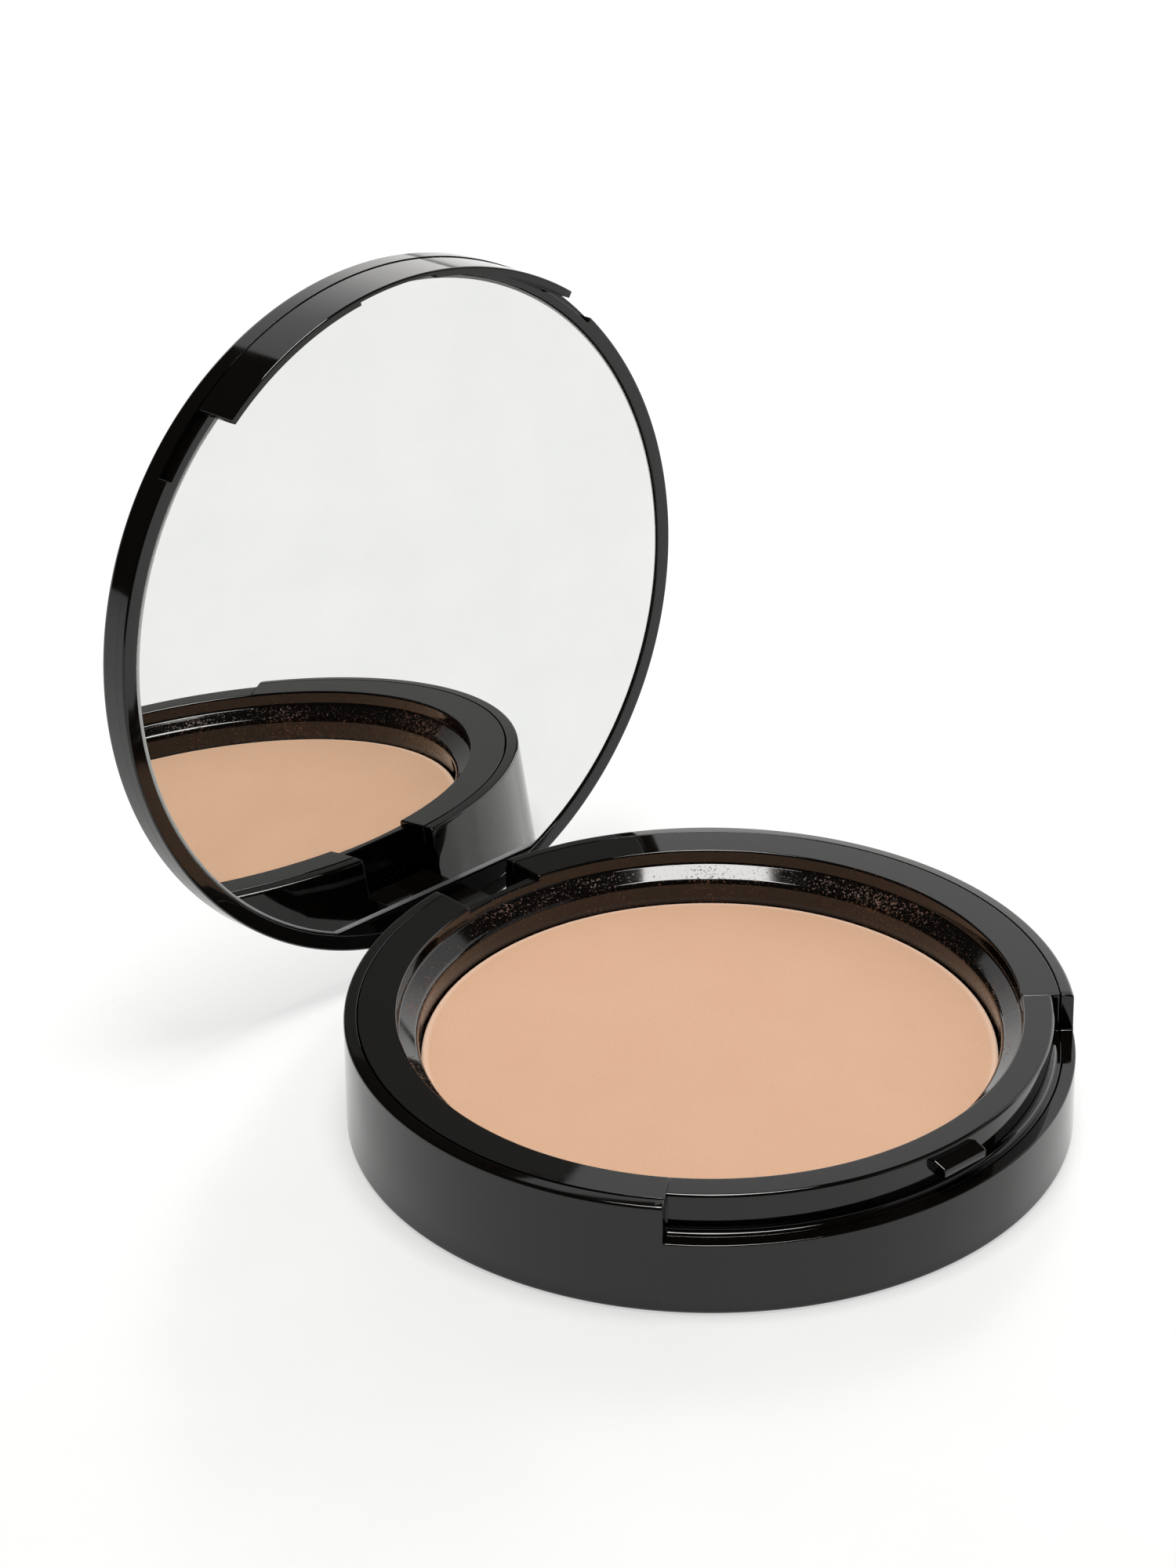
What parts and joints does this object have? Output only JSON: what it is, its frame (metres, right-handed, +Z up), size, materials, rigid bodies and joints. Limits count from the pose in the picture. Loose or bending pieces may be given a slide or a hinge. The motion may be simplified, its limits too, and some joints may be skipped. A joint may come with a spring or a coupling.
{
  "type": "powder compact",
  "caption": "Round hinged cosmetics compact, standing open, with a pan of pressed powder in the base and a mirror with a straight hinge-side edge in the lid.",
  "frame": {"origin": "middle of the flat underside of the base, where it stands on the table", "axes": "+Z up out of the powder, -Y towards the latch at the front, +Y towards the hinge, X along the hinge pin"},
  "size_m": [0.075, 0.0919, 0.0783],
  "materials": {
    "case_black": "polished",
    "holder_black": "polished",
    "lid_black": "polished",
    "frame_black": "polished",
    "pan_metal": "satin",
    "pressed_powder": "matte",
    "glue": "satin",
    "pin_steel": "satin",
    "label_paper": "satin",
    "mirror_silver": "polished",
    "mirror_edge": "satin",
    "foam_tape": "matte"
  },
  "bodies": {
    "base": {"base_case": "case_black", "pan_holder": "holder_black", "powder_pan": "pan_metal", "powder_cake": "pressed_powder", "pan_adhesive": "glue", "hinge_pin": "pin_steel", "base_label": "label_paper"},
    "lid": {"lid_cover": "lid_black", "lid_frame": "frame_black", "mirror": "mirror_silver", "mirror_tape": "foam_tape"}
  },
  "joints": [
    {"name": "lid_hinge", "type": "hinge", "parent": "base", "child": "lid", "pos_m": [0, 0.03575, 0.00586], "axis": [1, 0, 0], "range_deg": [0, 96.38]}
  ]
}
